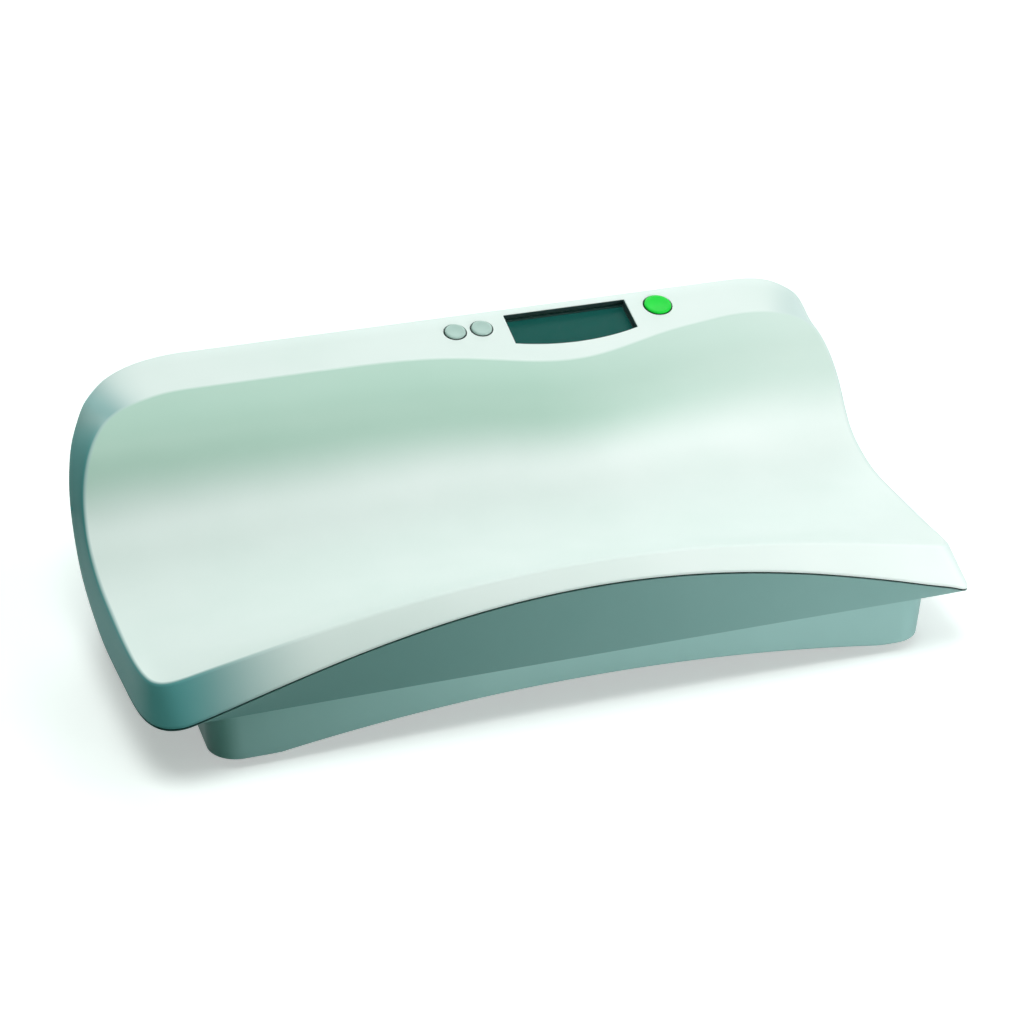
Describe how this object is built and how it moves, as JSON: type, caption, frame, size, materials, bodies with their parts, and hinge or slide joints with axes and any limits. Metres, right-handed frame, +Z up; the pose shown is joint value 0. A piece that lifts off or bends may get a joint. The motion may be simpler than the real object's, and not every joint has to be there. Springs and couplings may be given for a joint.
{
  "type": "digital baby weighing scale",
  "caption": "Long curved cradle tray with a rear console holding a display window and push buttons, on a low battery-powered base with rubber-padded load-cell feet.",
  "frame": {"origin": "on the floor, under the middle of the tray", "axes": "+X along the tray towards the display's end, +Y from the front lip to the console, +Z up"},
  "size_m": [0.5642, 0.308, 0.153],
  "materials": {
    "tray_plastic": "moulded white with a pale green cast, satin gloss",
    "base_plastic": "moulded grey green, satin gloss",
    "pad_rubber": "matt",
    "cup_plastic": "fine texture",
    "cell_steel": "stamped sheet",
    "gauge_seal": "soft white seal",
    "screw_steel": "zinc plated",
    "gasket_foam": "foam",
    "window_clear": "clear acrylic",
    "lcd_glass": "unlit reflective panel",
    "carrier_plastic": "moulded",
    "strip_rubber": "silicone strip",
    "board_laminate": "solder mask",
    "chip_epoxy": "moulded epoxy",
    "switch_plastic": "moulded",
    "key_grey": "satin gloss",
    "key_green": "satin gloss",
    "case_plastic": "moulded",
    "battery_jacket": "printed film over steel",
    "contact_nickel": "nickel plated spring steel",
    "wire_jacket": "soft plastic jacket",
    "lead_jacket": "soft plastic jacket",
    "signal_jacket": "soft plastic jacket"
  },
  "bodies": {
    "scale": {"tray_shell": "tray_plastic", "lower_shell": "base_plastic", "foot_pad_front_left": "pad_rubber", "foot_cup_front_left": "cup_plastic", "load_cell_front_left": "cell_steel", "load_cell_wire_front_left": "wire_jacket", "foot_pad_front_right": "pad_rubber", "foot_cup_front_right": "cup_plastic", "load_cell_front_right": "cell_steel", "load_cell_wire_front_right": "wire_jacket", "foot_pad_rear_left": "pad_rubber", "foot_cup_rear_left": "cup_plastic", "load_cell_rear_left": "cell_steel", "load_cell_wire_rear_left": "wire_jacket", "foot_pad_rear_right": "pad_rubber", "foot_cup_rear_right": "cup_plastic", "load_cell_rear_right": "cell_steel", "load_cell_wire_rear_right": "wire_jacket", "gauge_covers": "gauge_seal", "housing_screws": "screw_steel", "load_cell_screws": "screw_steel", "display_board_screws": "screw_steel", "junction_board_screws": "screw_steel", "window_gasket": "gasket_foam", "display_window": "window_clear", "display_carrier": "carrier_plastic", "display_glass": "lcd_glass", "contact_strips": "strip_rubber", "display_board": "board_laminate", "junction_board": "board_laminate", "display_components": "chip_epoxy", "junction_components": "chip_epoxy", "key_switches": "switch_plastic", "battery_case": "case_plastic", "battery_contacts": "contact_nickel", "battery_leads": "lead_jacket", "signal_cable": "signal_jacket", "battery_1": "battery_jacket", "battery_2": "battery_jacket", "battery_3": "battery_jacket", "battery_4": "battery_jacket"},
    "net_button": {"net_button": "key_grey"},
    "hold_button": {"hold_button": "key_grey"},
    "start_button": {"start_button": "key_green"},
    "battery_door": {"battery_door": "base_plastic"}
  },
  "joints": [
    {"name": "net_button_press", "type": "slide", "parent": "scale", "child": "net_button", "axis": [0, 0.3057, -0.9521], "range_m": [0, 0.001], "stiffness_N_per_m": 800, "springref_m": -0.001},
    {"name": "hold_button_press", "type": "slide", "parent": "scale", "child": "hold_button", "axis": [0, 0.3057, -0.9521], "range_m": [0, 0.001], "stiffness_N_per_m": 800, "springref_m": -0.001},
    {"name": "start_button_press", "type": "slide", "parent": "scale", "child": "start_button", "axis": [0, 0.3057, -0.9521], "range_m": [0, 0.001], "stiffness_N_per_m": 800, "springref_m": -0.001},
    {"name": "battery_door_hinge", "type": "hinge", "parent": "scale", "child": "battery_door", "pos_m": [0.0095, 0.015, 0.0249], "axis": [1, 0, 0], "range_deg": [0, 20]}
  ]
}
